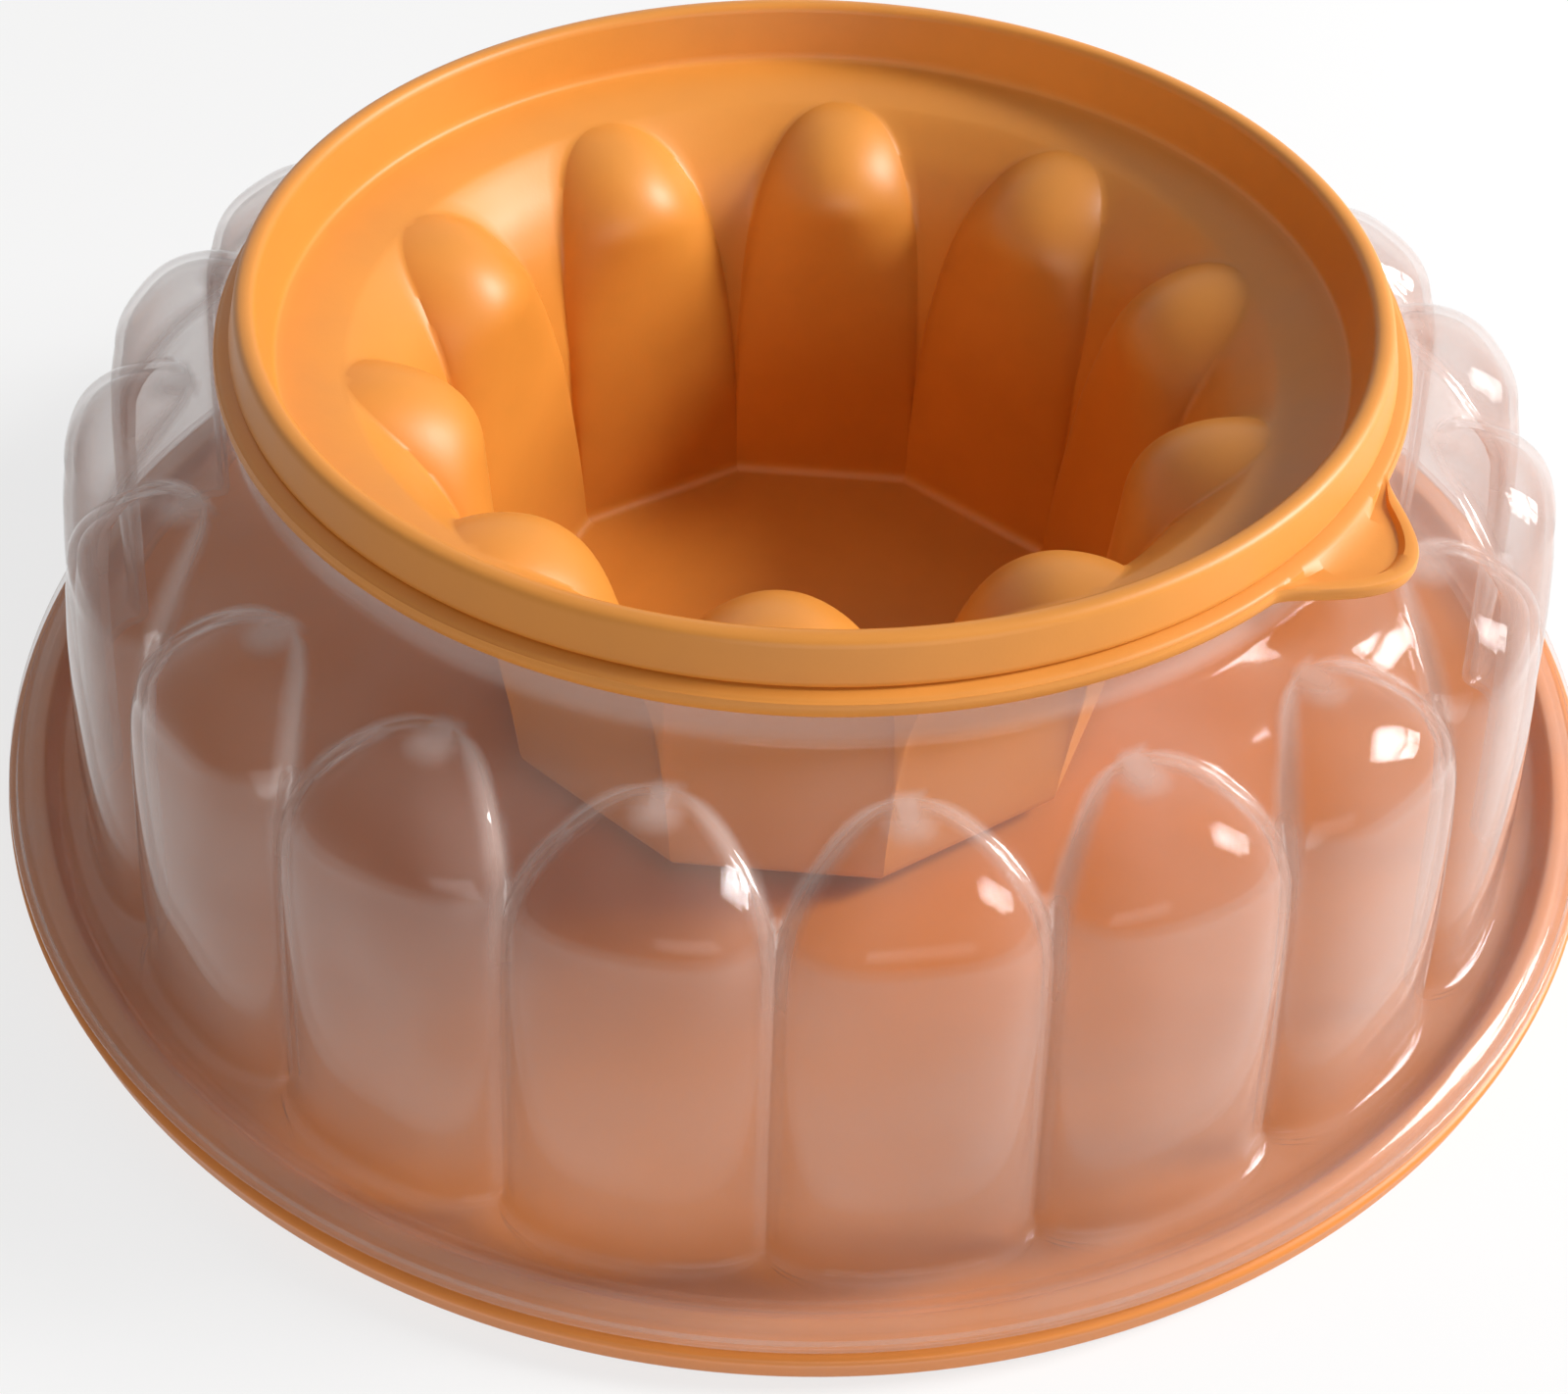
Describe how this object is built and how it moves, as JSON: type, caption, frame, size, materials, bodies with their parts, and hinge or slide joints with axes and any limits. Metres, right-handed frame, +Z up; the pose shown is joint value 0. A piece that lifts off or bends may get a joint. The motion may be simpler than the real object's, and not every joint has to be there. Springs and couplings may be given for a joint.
{
  "type": "jelly mould",
  "caption": "Ring mould for moulded jelly: a translucent lobed ring body, with an orange fluted centre insert pressed in from above and an orange base seal below.",
  "frame": {"origin": "middle of the base seal's underside, on the mould's axis", "axes": "+Z up along the mould's axis; -Y is the front; the finger tab is at the front right, 36 degrees from +X towards -Y"},
  "size_m": [0.241, 0.241, 0.0773],
  "materials": {
    "clear_polypropylene": "clear, slightly milky moulded polypropylene, glossy outside",
    "orange_polyethylene": "satin moulded polyethylene, opaque orange",
    "orange_seal": "satin moulded polyethylene, opaque orange"
  },
  "bodies": {
    "root": {"mould_body": "clear_polypropylene", "centre_insert": "orange_polyethylene", "base_seal": "orange_seal"}
  },
  "joints": []
}
